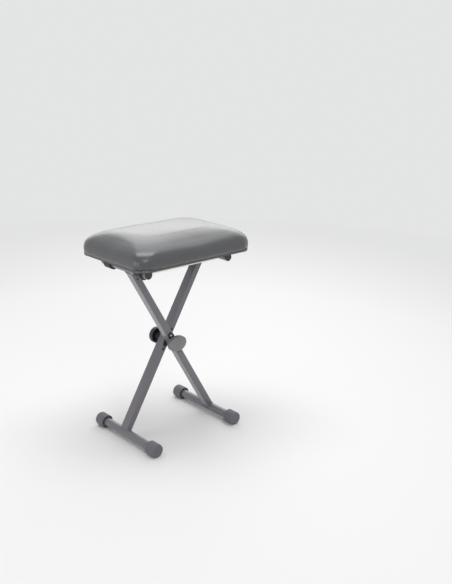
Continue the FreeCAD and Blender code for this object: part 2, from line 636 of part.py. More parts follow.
def slide_rail(y):
    """A bent rod under the seat with a plate welded on each end."""
    top = SEAT_BOTTOM - RAIL_PLATE_THICKNESS
    bend = RAIL_BEND
    diagonal = bend * (1 - math.sqrt(0.5))
    outer_top = FreeCAD.Vector(RAIL_OUTER, y, top)
    outer_bend = FreeCAD.Vector(RAIL_OUTER, y, RAIL_HEIGHT + bend)
    outer_middle = FreeCAD.Vector(RAIL_OUTER - diagonal, y, RAIL_HEIGHT + diagonal)
    outer_low = FreeCAD.Vector(RAIL_OUTER - bend, y, RAIL_HEIGHT)
    inner_low = FreeCAD.Vector(RAIL_INNER + bend, y, RAIL_HEIGHT)
    inner_middle = FreeCAD.Vector(RAIL_INNER + diagonal, y, RAIL_HEIGHT + diagonal)
    inner_bend = FreeCAD.Vector(RAIL_INNER, y, RAIL_HEIGHT + bend)
    inner_top = FreeCAD.Vector(RAIL_INNER, y, top)
    path = Part.Wire([
        Part.LineSegment(outer_top, outer_bend).toShape(),
        Part.Arc(outer_bend, outer_middle, outer_low).toShape(),
        Part.LineSegment(outer_low, inner_low).toShape(),
        Part.Arc(inner_low, inner_middle, inner_bend).toShape(),
        Part.LineSegment(inner_bend, inner_top).toShape(),
    ])
    section = Part.Wire([Part.makeCircle(RAIL_ROD_D / 2, outer_top, UP)])
    rail = path.makePipeShell([section], True, False)
    half = RAIL_PLATE_WIDTH / 2
    for start, end in rail_plate_spans():
        rail = rail.fuse(block(start, end, y - half, y + half, top, SEAT_BOTTOM))
    for x, screw_y in rail_screw_places():
        rail = rail.cut(rod_z(x, screw_y, RAIL_SCREW_D / 2, top, SEAT_BOTTOM))
    return rail


def slide_rails():
    return group([slide_rail(-RAIL_SPACING / 2), slide_rail(RAIL_SPACING / 2)])


def rail_screws():
    screws = []
    seat = SEAT_BOTTOM - RAIL_PLATE_THICKNESS
    for x, y in rail_screw_places():
        head = rod_z(x, y, RAIL_SCREW_HEAD_D / 2, seat - RAIL_SCREW_HEAD_HEIGHT, seat)
        screws.append(head.fuse(rod_z(x, y, RAIL_SCREW_D / 2, seat, RAIL_SCREW_TOP)))
    return group(screws)


def runner_strips():
    """The strips under the board on which crossbar B bears."""
    strips = []
    half = RUNNER_WIDTH / 2
    outer, inner = rail_plate_spans()
    start = inner[1] + RUNNER_END_GAP
    end = outer[0] - RUNNER_END_GAP
    for y in (-RAIL_SPACING / 2, RAIL_SPACING / 2):
        strips.append(block(start, end, y - half, y + half, RUNNER_BOTTOM, SEAT_BOTTOM))
    return group(strips)


FOOT_A = FOOT_SPREAD / 2
FOOT_B = -FOOT_SPREAD / 2

NODES = {
    "foot_tube_b": foot_tube(FOOT_B),
    "foot_cap_b_front": foot_cap(FOOT_B, -1),
    "foot_cap_b_rear": foot_cap(FOOT_B, 1),
    "leg_tube_b": leg_tube_b(),
    "leg_insert_b": leg_insert_b(),
    "insert_screws": insert_screws(),
    "crossbar_b": crossbar(CROSSBAR_B),
    "crossbar_plugs_b": crossbar_plugs(CROSSBAR_B),
    "clutch_pad_b": clutch_pad_b(),
    "pivot_bolt": pivot_bolt(),
    "rear_knob": rear_knob(),
    "foot_tube_a": foot_tube(FOOT_A),
    "foot_cap_a_front": foot_cap(FOOT_A, -1),
    "foot_cap_a_rear": foot_cap(FOOT_A, 1),
    "leg_tube_a": leg_tube_a(),
    "leg_insert_a": leg_insert(FOOT_A, -LEG_MIDDLE, BUSH_D),
    "crossbar_a": crossbar(CROSSBAR_A),
    "crossbar_plugs_a": crossbar_plugs(CROSSBAR_A),
    "clutch_pad_a": clutch_pad_a(),
    "pivot_bush": pivot_bush(),
    "pivot_plate": pivot_plate(),
    "knob_washer": knob_washer(),
    "clamp_knob_grip": clamp_knob_grip(),
    "clamp_knob_face": clamp_knob_face(),
    "clamp_knob_nut": clamp_knob_nut(),
    "seat_board": seat_board(),
    "seat_cushion": seat_cushion(),
    "saddle_blocks": saddle_blocks(),
    "saddle_straps": saddle_straps(),
    "saddle_bolts": saddle_bolts(),
    "saddle_washers": saddle_washers(),
    "board_tnuts": board_tnuts(),
    "slide_rails": slide_rails(),
    "rail_screws": rail_screws(),
    "runner_strips": runner_strips(),
}

os.makedirs("parts", exist_ok=True)
for name, shape in NODES.items():
    solids = len(shape.Solids)
    print(f"{name}: {solids} solids, volume {shape.Volume:.0f}, valid {shape.isValid()}")
    shape.exportStep(f"parts/{name}.step")

print(f"pivot height {PIVOT_HEIGHT:.3f}, leg lean {LEG_LEAN:.3f}, fold travel {FOLD_TRAVEL:.3f}")
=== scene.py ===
# %% [markdown]
# # A folding keyboard bench
#
# The bench has a padded seat of black vinyl on two crossing legs of painted tube. The metal, the
# knobs and the hardware come from the CAD model, at their real sizes. This script gives them
# their finishes and makes what CAD leaves plain: the soft seat, its wrapped cover, the welds, the
# staples and the heads of the screws. We load the model first. Everything that is added later has
# to stay within it.

# %% Load the frame
import math
import random

import bmesh
import bpy
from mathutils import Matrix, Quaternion, Vector, noise


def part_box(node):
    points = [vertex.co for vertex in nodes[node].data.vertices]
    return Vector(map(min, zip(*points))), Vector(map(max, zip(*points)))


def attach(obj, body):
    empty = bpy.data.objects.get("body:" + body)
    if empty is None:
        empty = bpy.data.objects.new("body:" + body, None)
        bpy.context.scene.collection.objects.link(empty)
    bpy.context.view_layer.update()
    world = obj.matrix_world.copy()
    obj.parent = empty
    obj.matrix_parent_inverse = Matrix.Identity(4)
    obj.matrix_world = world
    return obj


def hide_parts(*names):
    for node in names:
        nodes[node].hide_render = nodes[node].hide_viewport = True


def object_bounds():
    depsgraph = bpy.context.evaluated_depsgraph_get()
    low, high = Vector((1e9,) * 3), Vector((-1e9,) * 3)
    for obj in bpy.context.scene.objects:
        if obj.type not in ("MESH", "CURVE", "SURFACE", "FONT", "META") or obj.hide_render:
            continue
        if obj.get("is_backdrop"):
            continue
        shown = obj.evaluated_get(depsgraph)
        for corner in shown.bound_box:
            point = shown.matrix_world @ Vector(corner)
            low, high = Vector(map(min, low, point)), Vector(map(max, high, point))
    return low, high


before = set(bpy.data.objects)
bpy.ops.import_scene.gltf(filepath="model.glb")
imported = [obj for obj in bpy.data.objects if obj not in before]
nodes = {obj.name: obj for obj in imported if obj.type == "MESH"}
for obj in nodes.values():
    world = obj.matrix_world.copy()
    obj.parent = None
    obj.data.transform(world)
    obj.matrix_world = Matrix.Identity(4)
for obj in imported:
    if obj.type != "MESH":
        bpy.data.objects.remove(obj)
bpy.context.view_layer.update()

MM = 0.001

# %% [markdown]
# ## Shader maths as plain expressions
#
# A finish is a tree of nodes, and most of them only add, multiply or compare. The class below
# wraps one output of a node, so that `1 - grain * 0.2` adds the two Math nodes by itself. The
# reflected forms, such as `__rsub__`, are what let a number stand on the left.

# %% A wire that can be added and multiplied
class Wire:
    """One output of a node in a finish."""

    def __init__(self, finish, socket):
        self.finish = finish
        self.socket = socket

    def maths(self, operation, first, second, clamp=False):
        settings = {"operation": operation, "use_clamp": clamp}
        return self.finish.node("Math", settings, {0: first, 1: second})

    def __add__(self, other):
        return self.maths("ADD", self, other)

    def __radd__(self, other):
        return self.maths("ADD", other, self)

    def __sub__(self, other):
        return self.maths("SUBTRACT", self, other)

    def __rsub__(self, other):
        return self.maths("SUBTRACT", other, self)

    def __mul__(self, other):
        return self.maths("MULTIPLY", self, other)

    def __rmul__(self, other):
        return self.maths("MULTIPLY", other, self)

    def above(self, level, softness):
        """0 below a level and 1 above it, with a ramp of the given width between."""
        return self.maths("MULTIPLY", self - level, 1 / softness, clamp=True)


# %% [markdown]
# A `Finish` is a material while it is being built. All its nodes come from one method, `node`,
# which takes the node's type, its settings and what goes into its sockets: a plain value or a
# wire. The few helpers below it are for what the finishes here share: a stretched pattern, cloudy
# noise, small cells, a blend of two colours, and a bump.

# %% A finish under construction
class Finish:
    """A material made of nodes. It always reads places on the object, in metres."""

    def __init__(self, name):
        self.material = bpy.data.materials.new(name)
        self.material.use_nodes = True
        self.tree = self.material.node_tree
        self.tree.nodes.clear()
        self.output = self.tree.nodes.new("ShaderNodeOutputMaterial")
        self.place = self.node("TexCoord", {}, {}, "Object")

    def node(self, kind, settings, inputs, output=0):
        made = self.tree.nodes.new("ShaderNode" + kind)
        for key, value in settings.items():
            setattr(made, key, value)
        for key, value in inputs.items():
            if isinstance(value, Wire):
                self.tree.links.new(value.socket, made.inputs[key])
            else:
                made.inputs[key].default_value = value
        return Wire(self, made.outputs[output])

    def stretched(self, along):
        """Places with each axis divided by a length, so that a pattern is drawn out along it."""
        scale = [1 / length for length in along]
        return self.node("Mapping", {}, {"Vector": self.place, "Scale": scale})

    def clouds(self, size, detail, place=None):
        """Soft noise from 0 to 1, whose clouds are about this big in metres."""
        inputs = {"Vector": place or self.place, "Scale": 1 / size, "Detail": detail}
        return self.node("TexNoise", {}, inputs)

    def cells(self, size, feature="F1"):
        """Distances in a pattern of cells, which are about this big in metres."""
        inputs = {"Vector": self.place, "Scale": 1 / size}
        return self.node("TexVoronoi", {"feature": feature}, inputs)

    def blend(self, share, first, second):
        return self.node("Mix", {"data_type": "RGBA"}, {0: share, 6: first, 7: second}, 2)

    def bump(self, height, depth, strength, under=None):
        """Turn a height from 0 to 1 into slopes, for a relief of this depth in metres."""
        inputs = {"Height": height, "Distance": depth, "Strength": strength}
        if under is not None:
            inputs["Normal"] = under
        return self.node("Bump", {}, inputs)

    def show(self, shader):
        self.tree.links.new(shader.socket, self.output.inputs["Surface"])

    def surface(self, inputs):
        self.show(self.node("BsdfPrincipled", {}, inputs))
        return self.material


def shade(red, green, blue):
    return (red, green, blue, 1.0)


print("The shader helpers are ready.")

# %% [markdown]
# ## Painted tube
#
# The legs, feet and crossbars are powder coated in a dark grey with a touch of mauve. Powder melts
# into a skin that is never quite flat: it has the fine dimples that painters call orange peel.
# Noise of about 1.6 mm makes the dimples, and a second, much larger noise makes the gloss a little
# uneven, as handling does. The third is sparse and fine: a little dust.

# %% Frame paint
def make_frame_paint():
    finish = Finish("frame_paint")
    peel = finish.clouds(1.6 * MM, detail=2.0)
    handling = finish.clouds(60 * MM, detail=4.0)
    dust = finish.clouds(0.7 * MM, detail=2.0).above(0.66, softness=0.10)
    paint = finish.blend(handling, shade(0.126, 0.117, 0.138), shade(0.150, 0.141, 0.160))
    colour = finish.blend(dust * 0.25, paint, shade(0.22, 0.21, 0.23))
    return finish.surface({
        "Base Color": colour,
        "Roughness": 0.30 + handling * 0.10,
        "Coat Weight": 0.70 + handling * 0.2,
        "Coat Roughness": 0.16,
        "Normal": finish.bump(peel, depth=0.10 * MM, strength=0.5),
    })


frame_paint = make_frame_paint()
print("Frame paint:", frame_paint.name)

# %% [markdown]
# ## Rubber and plastic
#
# The foot caps are soft grey rubber, which scatters light and holds a little dust. The knobs, plugs
# and runner strips are moulded plastic. What separates plastic from rubber is the highlight:
# plastic has a finer surface, so it is smoother and a little brighter at its edges.

# %% Rubber and plastics
def make_moulded(name, dark, light, roughness, grain, relief):
    """A moulded material: a cloudy colour with a fine grain."""
    finish = Finish(name)
    mottle = finish.clouds(18 * MM, detail=5.0)
    texture = finish.clouds(grain, detail=3.0)
    streaks = finish.clouds(1.0, detail=5.0, place=finish.stretched((3 * MM, 14 * MM, 3 * MM)))
    scuffs = streaks.above(0.62, softness=0.2)
    colour = finish.blend(mottle, dark, light)
    scuffed = [channel * 1.25 + 0.02 for channel in light[:3]]
    return finish.surface({
        "Base Color": finish.blend(scuffs * 0.35, colour, shade(*scuffed)),
        "Roughness": roughness + mottle * 0.10 + scuffs * 0.08,
        "Normal": finish.bump(texture, relief, strength=0.6),
    })


cap_rubber = make_moulded(
    "cap_rubber", shade(0.120, 0.113, 0.132), shade(0.160, 0.152, 0.172),
    roughness=0.52, grain=0.5 * MM, relief=0.06 * MM)
plug_plastic = make_moulded(
    "plug_plastic", shade(0.030, 0.030, 0.033), shade(0.045, 0.045, 0.048),
    roughness=0.40, grain=0.4 * MM, relief=0.04 * MM)
knob_plastic = make_moulded(
    "knob_plastic", shade(0.200, 0.198, 0.210), shade(0.245, 0.243, 0.258),
    roughness=0.30, grain=0.4 * MM, relief=0.03 * MM)
rear_knob_plastic = make_moulded(
    "rear_knob_plastic", shade(0.022, 0.024, 0.032), shade(0.032, 0.034, 0.044),
    roughness=0.34, grain=0.4 * MM, relief=0.03 * MM)
# The pivot plate's near-black colour is partly painted shade: it also stands in for the shadow that the
# clamp knob casts on leg A.
plate_plastic = make_moulded(
    "plate_plastic", shade(0.018, 0.018, 0.022), shade(0.028, 0.028, 0.032),
    roughness=0.36, grain=0.4 * MM, relief=0.03 * MM)
print("Rubber and four plastics are made.")

# %% [markdown]
# ## Steel and brass
#
# Rails, bolts, washers and screws are zinc plated. Zinc is a bright metal with a faint warm and
# cool cloudiness, where the passivated skin is a little thicker or thinner. Rolled strip and drawn
# rod also carry fine lines along their length, so the relief is stretched along X. The straps are
# blackened steel and the bush in the pivot is brass, which differ only in colour and gloss.

# %% Metals
def make_metal(name, dark, light, roughness):
    finish = Finish(name)
    tint = finish.clouds(9 * MM, detail=4.0)
    drawn = finish.stretched((30 * MM, 0.5 * MM, 0.5 * MM))
    lines = finish.clouds(1.0, detail=4.0, place=drawn)
    spots = finish.clouds(1.4 * MM, detail=2.0).above(0.64, softness=0.08)
    colour = finish.blend(tint, dark, light)
    dull = [channel * 0.6 for channel in dark[:3]]
    return finish.surface({
        "Base Color": finish.blend(spots * 0.4, colour, shade(*dull)),
        "Metallic": 1.0,
        "Roughness": roughness + lines * 0.14 + spots * 0.2,
        "Normal": finish.bump(lines, depth=0.02 * MM, strength=0.5),
    })


plated_steel = make_metal(
    "plated_steel", shade(0.60, 0.60, 0.57), shade(0.74, 0.73, 0.68), roughness=0.20)
black_steel = make_metal(
    "black_steel", shade(0.050, 0.050, 0.055), shade(0.075, 0.072, 0.075), roughness=0.34)
bush_brass = make_metal(
    "bush_brass", shade(0.62, 0.45, 0.20), shade(0.72, 0.55, 0.28), roughness=0.26)
print("Plated steel, black steel and brass are made.")

# %% [markdown]
# ## Friction fibre and plywood
#
# Two materials hardly show, but they are there: the pads between the legs, of pressed black fibre,
# whose near-black colour is also painted shade, for the shadow that leg A and the knob cast round
# the pivot, and the plywood board, with its long grain.

# %% Fibre and wood
def make_clutch_fibre():
    finish = Finish("clutch_fibre")
    flecks = finish.cells(0.9 * MM)
    pale = flecks.above(0.35, softness=0.3)
    # Near-black fibre, made this dark partly as painted shade round the pivot.
    colour = finish.blend(pale, shade(0.016, 0.016, 0.018), shade(0.034, 0.033, 0.035))
    return finish.surface({
        "Base Color": colour,
        "Roughness": 0.85,
        "Normal": finish.bump(flecks, depth=0.08 * MM, strength=0.7),
    })


def make_board_wood():
    finish = Finish("board_wood")
    streaks = finish.clouds(1.0, detail=6.0, place=finish.stretched((120 * MM, 3 * MM, 3 * MM)))
    lines = finish.clouds(1.0, detail=3.0, place=finish.stretched((9 * MM, 0.4 * MM, 0.4 * MM)))
    pores = lines.above(0.60, softness=0.12)
    colour = finish.blend(streaks, shade(0.36, 0.25, 0.15), shade(0.52, 0.39, 0.25))
    return finish.surface({
        "Base Color": finish.blend(pores * 0.6, colour, shade(0.20, 0.12, 0.06)),
        "Roughness": 0.62 + pores * 0.15,
        "Normal": finish.bump(1 - pores, depth=0.12 * MM, strength=0.6),
    })


clutch_fibre = make_clutch_fibre()
board_wood = make_board_wood()
print("Fibre and plywood are made.")

# %% [markdown]
# ## Seat vinyl and dust cover
#
# The seat is covered in black vinyl, printed with a leather grain: small rounded pebbles of about
# 1.5 mm, parted by thin valleys. The distance to the edge of a Voronoi cell is exactly such a
# valley. The gloss is high, so the bright studio shows on it as a broad silvery sheen, and the
# valleys are a little duller than the pebbles. The dust cover below is a felted black cloth,
# printed in little dots where the fibres were pressed together.

# %% Vinyl and cloth
def make_seat_vinyl():
    finish = Finish("seat_vinyl")
    pebbles = finish.cells(1.5 * MM, "DISTANCE_TO_EDGE").above(0.0, softness=0.22)
    creases = finish.clouds(5 * MM, detail=5.0)
    wear = finish.clouds(70 * MM, detail=3.0)
    colour = finish.blend(pebbles, shade(0.034, 0.034, 0.038), shade(0.070, 0.072, 0.076))
    polished = finish.blend(wear * 0.4, colour, shade(0.085, 0.088, 0.092))
    grain = finish.bump(pebbles, depth=0.09 * MM, strength=0.35)
    return finish.surface({
        "Base Color": polished,
        "Roughness": 0.34 - pebbles * 0.05 + wear * 0.06,
        "Coat Weight": 0.55 + pebbles * 0.3,
        "Coat Roughness": 0.24,
        "Normal": finish.bump(creases, depth=0.30 * MM, strength=0.25, under=grain),
    })


def make_dust_cloth():
    finish = Finish("dust_cloth")
    fibres = finish.clouds(0.6 * MM, detail=6.0)
    dots = finish.cells(1.8 * MM).above(0.35, softness=0.2)
    colour = finish.blend(fibres, shade(0.020, 0.019, 0.022), shade(0.055, 0.052, 0.058))
    return finish.surface({
        "Base Color": finish.blend((1 - dots) * 0.5, colour, shade(0.015, 0.015, 0.017)),
        "Roughness": 0.9 - (1 - dots) * 0.2,
        "Normal": finish.bump(dots + fibres * 0.5, depth=0.10 * MM, strength=0.7),
    })


seat_vinyl = make_seat_vinyl()
dust_cloth = make_dust_cloth()
print("Vinyl and dust cloth are made.")

# %% [markdown]
# ## Dress the CAD pieces
#
# Every CAD node keeps its mesh and gets its finish by name. A table from finish to nodes says it
# all in one place, and a loop assigns it.

# %% Give each CAD node its finish
FINISHES = {
    frame_paint: ["foot_tube_a", "foot_tube_b", "leg_tube_a", "leg_tube_b", "crossbar_a", "crossbar_b"],
    cap_rubber: ["foot_cap_a_front", "foot_cap_a_rear", "foot_cap_b_front", "foot_cap_b_rear"],
    plug_plastic: ["crossbar_plugs_a", "crossbar_plugs_b", "runner_strips", "saddle_blocks",
                   "leg_insert_a", "leg_insert_b"],
    plated_steel: ["pivot_bolt", "knob_washer", "clamp_knob_nut", "saddle_bolts",
                   "saddle_washers", "board_tnuts", "slide_rails", "rail_screws"],
    black_steel: ["insert_screws", "saddle_straps"],
    clutch_fibre: ["clutch_pad_a", "clutch_pad_b"],
    bush_brass: ["pivot_bush"],
    plate_plastic: ["pivot_plate"],
    knob_plastic: ["clamp_knob_grip", "clamp_knob_face"],
    rear_knob_plastic: ["rear_knob"],
    board_wood: ["seat_board"],
    seat_vinyl: ["seat_cushion"],
}
for material, names in FINISHES.items():
    for name in names:
        nodes[name].data.materials.clear()
        nodes[name].data.materials.append(material)
print(sum(len(names) for names in FINISHES.values()), "of", len(nodes), "nodes have a finish.")

# %% [markdown]
# ## Helpers for new pieces
#
# A piece is drawn as a bmesh and then becomes an object that rides on one of the CAD bodies. Its
# place is in its mesh, so the object itself stays at the origin. Edges sharper than 35 degrees
# are kept crisp and the rest are shaded smooth. A piece that is drawn flat, as cloth is, gets its
# thickness from a Solidify modifier.

# %% From bmesh to piece
CRISP_ANGLE = math.radians(35)


def crisp(shape):
    for face in shape.faces:
        face.smooth = True
    for edge in shape.edges:
        edge.smooth = edge.calc_face_angle(0.0) < CRISP_ANGLE


def make_object(name, mesh, material):
    thing = bpy.data.objects.new(name, mesh)
    bpy.context.scene.collection.objects.link(thing)
    thing.data.materials.clear()
    thing.data.materials.append(material)
    return thing


def make_piece(name, shape, material, body, replaced=()):
    """Close the drawing, make it an object and let it ride on a body."""
    bmesh.ops.remove_doubles(shape, verts=shape.verts, dist=1e-6)
    bmesh.ops.recalc_face_normals(shape, faces=shape.faces)
    crisp(shape)
    mesh = bpy.data.meshes.new(name)
    shape.to_mesh(mesh)
    shape.free()
    thing = make_object(name, mesh, material)
    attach(thing, body)
    if replaced:
        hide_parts(*replaced)
    print(f"{name}: {len(mesh.polygons)} faces on {body}")
    return thing


def settled(thing):
    """The mesh of an object with its modifiers applied."""
    depsgraph = bpy.context.evaluated_depsgraph_get()
    return bpy.data.meshes.new_from_object(thing.evaluated_get(depsgraph))


def thicken(thing, thickness):
    """Give a flat piece a thickness, half of it on each side."""
    wall = thing.modifiers.new("thickness", "SOLIDIFY")
    wall.thickness = thickness
    wall.offset = 0.0
    thing.data = settled(thing)
    thing.modifiers.clear()


print("A drawing can become a piece that rides on a body.")

# %% [markdown]
# Boxes and turned shapes come up again and again. A box is a cube that is scaled, turned and
# moved. A turned shape, such as a screw's head, is half an outline that is spun about an axis.

# %% Boxes and turned shapes
def add_box(shape, centre, size, turn):
    """A box of the given size, turned by a quaternion and moved to its centre."""
    made = bmesh.ops.create_cube(shape, size=1.0)["verts"]
    bmesh.ops.scale(shape, verts=made, vec=size)
    bmesh.ops.transform(shape, verts=made, matrix=turn.to_matrix().to_4x4())
    bmesh.ops.translate(shape, verts=made, vec=centre)


def add_turned(shape, outline, centre, along, steps):
    """Spin an outline of (radius, distance along) points about an axis through centre."""
    turn = Vector((0, 0, 1)).rotation_difference(Vector(along))
    verts = [shape.verts.new(turn @ Vector((radius, 0, reach)) + Vector(centre))
             for radius, reach in outline]
    edges = [shape.edges.new(pair) for pair in zip(verts, verts[1:])]
    bmesh.ops.spin(shape, geom=verts + edges, cent=centre, axis=turn @ Vector((0, 0, 1)),
                   dvec=(0, 0, 0), angle=math.tau, steps=steps, use_merge=True)


print("The helpers for pieces are ready.")

# %% [markdown]
# ## The seat cushion
#
# The seat is foam on a board, with vinyl pulled over it. The foam wants to be round and the vinyl
# pulls it flat at the edges, so it is a shape that is best found by simulation. The CAD cushion
# has a pocket for the board. A convex hull round its points closes that pocket, and a remesh in
# voxels then gives the cloth even squares to work with.

# %% Copy the CAD cushion and close it
VOXEL = 6.0 * MM
SKIN = 1.2 * MM

cushion_low, cushion_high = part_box("seat_cushion")
board_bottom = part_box("seat_board")[0].z
seat_half = Vector((cushion_high.x, cushion_high.y))


def closed_cushion():
    shape = bmesh.new()
    for vertex in nodes["seat_cushion"].data.vertices:
        shape.verts.new(vertex.co)
    bmesh.ops.remove_doubles(shape, verts=shape.verts, dist=1e-5)
    hull = bmesh.ops.convex_hull(shape, input=shape.verts)
    spare = hull["geom_interior"] + hull["geom_unused"]
    inside = {part for part in spare if isinstance(part, bmesh.types.BMVert)}
    bmesh.ops.delete(shape, geom=list(inside), context="VERTS")
    bmesh.ops.recalc_face_normals(shape, faces=shape.faces)
    return shape


shape = closed_cushion()
print("Open edges left on the cushion:", sum(edge.is_boundary for edge in shape.edges))
start = bpy.data.meshes.new("seat_pad")
shape.to_mesh(start)
shape.free()
cushion = make_object("seat_pad", start, seat_vinyl)
remesh = cushion.modifiers.new("voxels", "REMESH")
remesh.mode = "VOXEL"
remesh.voxel_size = VOXEL
remesh.use_smooth_shade = True
cushion.data = settled(cushion)
cushion.modifiers.clear()
print("The remeshed cushion has", len(cushion.data.vertices), "points.")

# %% [markdown]
# The cloth gets a little pressure from inside and no gravity, and it starts a little lower than
# the CAD cushion, because it swells. Its bottom edge is pinned, where the real vinyl is stapled.
# After twenty frames we take the result. Firm foam has no small dents, so each point's step is
# averaged with its neighbours' thirty times, and no step may be longer than the cap.

# %% Let the cushion swell
SWELL_CAP = 5.0 * MM
PIN_HEIGHT = 8.0 * MM
START_SCALE = (0.994, 0.992, 0.965)
SMOOTHINGS = 30
PRESSURE = 4.0
FRAMES = 20


def evened(steps, edges, rounds):
    """Average each point's step with those of its neighbours, a number of times."""
    for _ in range(rounds):
        sums = [step.copy() for step in steps]
        counts = [1] * len(steps)
        for first, second in edges:
            sums[first] += steps[second]
            sums[second] += steps[first]
            counts[first] += 1
            counts[second] += 1
        steps = [total / count for total, count in zip(sums, counts)]
    return steps


def let_it_swell(thing):
    base = cushion_low.z
    for vertex in thing.data.vertices:
        vertex.co.x *= START_SCALE[0]
        vertex.co.y *= START_SCALE[1]
        vertex.co.z = base + (vertex.co.z - base) * START_SCALE[2]
    start_places = [vertex.co.copy() for vertex in thing.data.vertices]
    pins = thing.vertex_groups.new(name="stapled")
    pinned = [vertex.index for vertex in thing.data.vertices if vertex.co.z < base + PIN_HEIGHT]
    pins.add(pinned, 1.0, "REPLACE")
    cloth = thing.modifiers.new("swell", "CLOTH")
    settings = cloth.settings
    settings.vertex_group_mass = "stapled"
    settings.quality = 2
    settings.mass = 0.4
    settings.tension_stiffness = 15
    settings.compression_stiffness = 15
    settings.shear_stiffness = 10
    settings.bending_stiffness = 4
    settings.use_pressure = True
    settings.uniform_pressure_force = PRESSURE
    settings.effector_weights.gravity = 0.0
    for number in range(1, FRAMES + 1):
        bpy.context.scene.frame_set(number)
    swollen = settled(thing)
    thing.modifiers.clear()
    steps = [target.co - place for place, target in zip(start_places, swollen.vertices)]
    edges = [tuple(edge.vertices) for edge in thing.data.edges]
    steps = evened(steps, edges, SMOOTHINGS)
    moved = []
    for vertex, place, step in zip(thing.data.vertices, start_places, steps):
        length = min(step.length, SWELL_CAP)
        moved.append(length)
        vertex.co = place + step.normalized() * length
    bpy.data.meshes.remove(swollen)
    bpy.context.scene.frame_set(1)
    return moved


moved = let_it_swell(cushion)
average, most = sum(moved) / len(moved) / MM, max(moved) / MM
print(f"The cushion swelled {average:.1f} mm on average, at most {most:.1f} mm.")

# %% [markdown]
# One subdivision halves the squares, and then come the marks of the upholsterer's hands. At each
# corner the vinyl has too much cloth, so it is gathered in a few upright folds that die out
# upwards. Between the corners each staple pulls a faint scallop in the lower edge. A large and
# very shallow noise makes the foam a little uneven.

# %% Corner folds and scallops
FOLD_ANGLES = (24, 46, 69)
FOLD_SPREAD = 5.0
FOLD_DEPTH = 1.5 * MM
FOLD_HEIGHT = 26 * MM
SCALLOP_DEPTH = 0.7 * MM
STAPLE_STEP = 32 * MM
CORNER = 36 * MM
DENT_DEPTH = 0.35 * MM
DENT_SIZE = 45 * MM


def fold_angles(chance):
    """Where the folds of one corner stand, in degrees round it, with their strengths."""
    return [(angle + chance.uniform(-4, 4), chance.uniform(0.7, 1.1)) for angle in FOLD_ANGLES]


def mark_of_hands(point, folds):
    """How far a point of the seat's side is pressed in by folds and scallops."""
    height = point.z - cushion_low.z
    fade = max(0.0, 1 - height / FOLD_HEIGHT)
    over_x = abs(point.x) - (seat_half.x - CORNER)
    over_y = abs(point.y) - (seat_half.y - CORNER)
    if over_x > 0 and over_y > 0:
        angle = math.degrees(math.atan2(over_y, over_x))
        depth = sum(power * math.exp(-((angle - at) / FOLD_SPREAD) ** 2) for at, power in folds)
        return FOLD_DEPTH * depth * fade ** 0.8
    along = point.x if over_y > over_x else point.y
    wave = 0.5 + 0.5 * math.cos(math.tau * along / STAPLE_STEP)
    return SCALLOP_DEPTH * wave * fade * fade


subdivide = cushion.modifiers.new("finer", "SUBSURF")
subdivide.levels = 1
subdivide.render_levels = 1
cushion.data = settled(cushion)
cushion.modifiers.clear()

chance = random.Random(11)
corner_folds = {(sx, sy): fold_angles(chance) for sx in (-1, 1) for sy in (-1, 1)}
for vertex in cushion.data.vertices:
    point = vertex.co
    corner = (1 if point.x > 0 else -1, 1 if point.y > 0 else -1)
    press = mark_of_hands(point, corner_folds[corner])
    unevenness = DENT_DEPTH * noise.noise(point / DENT_SIZE)
    side = abs(vertex.normal.z) < 0.95
    vertex.co = point + vertex.normal * (unevenness - (press if side else 0))
    vertex.co.z = max(vertex.co.z, cushion_low.z + SKIN)
for polygon in cushion.data.polygons:
    polygon.use_smooth = True
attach(cushion, "seat")
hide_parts("seat_cushion")
print("The finished cushion has", len(cushion.data.polygons), "faces.")

# %% [markdown]
# ## The wrapped hem and the dust cover
#
# Below, the vinyl is turned under the board and stapled. That strip is a flat frame with rounded
# corners: a plane whose corners are bevelled, with its inside taken out by an inset. Its surplus
# at the corners lies in pleats that fan out from the middle of each corner. The outer rim is
# extruded upwards, round the edge of the board and into the cushion, so that no wood shows.

# %% The hem under the board
HEM_WIDTH = 20 * MM
HEM_THICKNESS = 0.9 * MM
HEM_EDGE = 3.6 * MM
HEM_LIP = 6.0 * MM
HEM_GAP = 0.1 * MM
HEM_RIPPLE = 0.15 * MM
RIPPLE_SIZE = 12 * MM
PLEAT_HEIGHT = 0.45 * MM
PLEATS_IN_TURN = 28


def rim_share(edge, half):
    """1 for an edge on the outer rim, and 0 for one on the inner rim."""
    middle = (edge.verts[0].co + edge.verts[1].co) / 2
    inner = half - Vector((HEM_WIDTH, HEM_WIDTH))
    reach = max(abs(middle.x) - inner.x, abs(middle.y) - inner.y)
    radius = CORNER - HEM_EDGE
    over = Vector((abs(middle.x) - half.x + radius, abs(middle.y) - half.y + radius))
    if over.x > 0 and over.y > 0:
        reach = HEM_WIDTH - (radius - over.length)
    return reach / HEM_WIDTH


